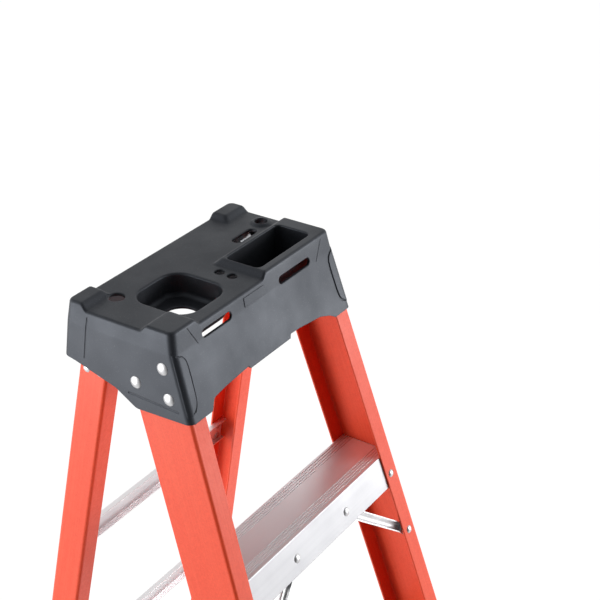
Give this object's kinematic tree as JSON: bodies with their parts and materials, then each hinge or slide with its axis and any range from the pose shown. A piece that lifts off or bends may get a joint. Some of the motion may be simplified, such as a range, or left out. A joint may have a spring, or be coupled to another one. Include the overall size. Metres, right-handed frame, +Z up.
{
  "type": "step ladder",
  "caption": "Folding A-frame step ladder: leaning fibreglass channel rails, grooved metal steps with struts, moulded tool-holding cap, rear frame on hinge pins and folding spreader links.",
  "frame": {"origin": "on the floor, in the middle of the footprint of the four shoes", "axes": "+Z up, +X across the ladder, -Y towards the climbing side"},
  "size_m": [0.5684, 1.0284, 1.746],
  "materials": {
    "cap_plastic": "moulded, lightly grained",
    "front_rail_fibreglass": "satin pultruded fibreglass",
    "rear_rail_fibreglass": "satin pultruded fibreglass",
    "step_aluminium": "mill finish, ribbed edges",
    "channel_aluminium": "mill finish",
    "brace_aluminium": "pressed",
    "rivet_aluminium": "set, slightly polished",
    "zinc_steel": "zinc plated",
    "shoe_plastic": "moulded",
    "tread_rubber": "ribbed"
  },
  "bodies": {
    "front_frame": {"top_cap": "cap_plastic", "step_1": "step_aluminium", "step_2": "step_aluminium", "step_3": "step_aluminium", "step_4": "step_aluminium", "step_5": "step_aluminium", "step_rivets": "rivet_aluminium", "brace_rivets": "rivet_aluminium", "cap_rivets": "rivet_aluminium", "front_shoe_rivets": "rivet_aluminium", "front_bracket_rivets": "rivet_aluminium", "left_front_rail": "front_rail_fibreglass", "left_step_braces": "brace_aluminium", "left_hinge_pin": "zinc_steel", "left_front_shoe": "shoe_plastic", "left_front_pad": "tread_rubber", "left_front_bracket": "zinc_steel", "left_front_pivot_rivet": "zinc_steel", "right_front_rail": "front_rail_fibreglass", "right_step_braces": "brace_aluminium", "right_hinge_pin": "zinc_steel", "right_front_shoe": "shoe_plastic", "right_front_pad": "tread_rubber", "right_front_bracket": "zinc_steel", "right_front_pivot_rivet": "zinc_steel"},
    "rear_frame": {"rear_channel_1": "channel_aluminium", "rear_channel_2": "channel_aluminium", "rear_channel_3": "channel_aluminium", "rear_channel_4": "channel_aluminium", "rear_channel_5": "channel_aluminium", "rear_channel_rivets": "rivet_aluminium", "gusset_rivets": "rivet_aluminium", "hinge_plate_rivets": "rivet_aluminium", "rear_shoe_rivets": "rivet_aluminium", "rear_bracket_rivets": "rivet_aluminium", "left_rear_rail": "rear_rail_fibreglass", "left_rear_gusset": "brace_aluminium", "left_hinge_plate": "zinc_steel", "left_rear_shoe": "shoe_plastic", "left_rear_pad": "tread_rubber", "left_rear_bracket": "zinc_steel", "left_rear_pivot_rivet": "zinc_steel", "right_rear_rail": "rear_rail_fibreglass", "right_rear_gusset": "brace_aluminium", "right_hinge_plate": "zinc_steel", "right_rear_shoe": "shoe_plastic", "right_rear_pad": "tread_rubber", "right_rear_bracket": "zinc_steel", "right_rear_pivot_rivet": "zinc_steel"},
    "left_spreader_front": {"left_front_link": "zinc_steel", "left_knee_rivet": "zinc_steel"},
    "left_spreader_rear": {"left_rear_link": "zinc_steel", "left_knee_cap": "zinc_steel"},
    "right_spreader_front": {"right_front_link": "zinc_steel", "right_knee_rivet": "zinc_steel"},
    "right_spreader_rear": {"right_rear_link": "zinc_steel", "right_knee_cap": "zinc_steel"}
  },
  "joints": [
    {"name": "rear_fold", "type": "hinge", "parent": "front_frame", "child": "rear_frame", "pos_m": [0, 0.17025, 1.71], "axis": [-1, 0, 0], "range_deg": [0, 28.2]},
    {"name": "left_spreader_front_turn", "type": "hinge", "parent": "front_frame", "child": "left_spreader_front", "pos_m": [0, -0.11192, 0.9569], "axis": [1, 0, 0], "range_deg": [0, 71.72]},
    {"name": "left_spreader_rear_turn", "type": "hinge", "parent": "rear_frame", "child": "left_spreader_rear", "pos_m": [0, 0.27688, 0.9569], "axis": [-1, 0, 0], "range_deg": [0, 77.79]},
    {"name": "right_spreader_front_turn", "type": "hinge", "parent": "front_frame", "child": "right_spreader_front", "pos_m": [0, -0.11192, 0.9569], "axis": [1, 0, 0], "range_deg": [0, 71.72]},
    {"name": "right_spreader_rear_turn", "type": "hinge", "parent": "rear_frame", "child": "right_spreader_rear", "pos_m": [0, 0.27688, 0.9569], "axis": [-1, 0, 0], "range_deg": [0, 77.79]}
  ],
  "couplings": [
    {"joint": "left_spreader_front_turn", "follows": "rear_fold", "ratio": 2.5427},
    {"joint": "left_spreader_rear_turn", "follows": "rear_fold", "ratio": 2.758},
    {"joint": "right_spreader_front_turn", "follows": "rear_fold", "ratio": 2.5427},
    {"joint": "right_spreader_rear_turn", "follows": "rear_fold", "ratio": 2.758}
  ]
}
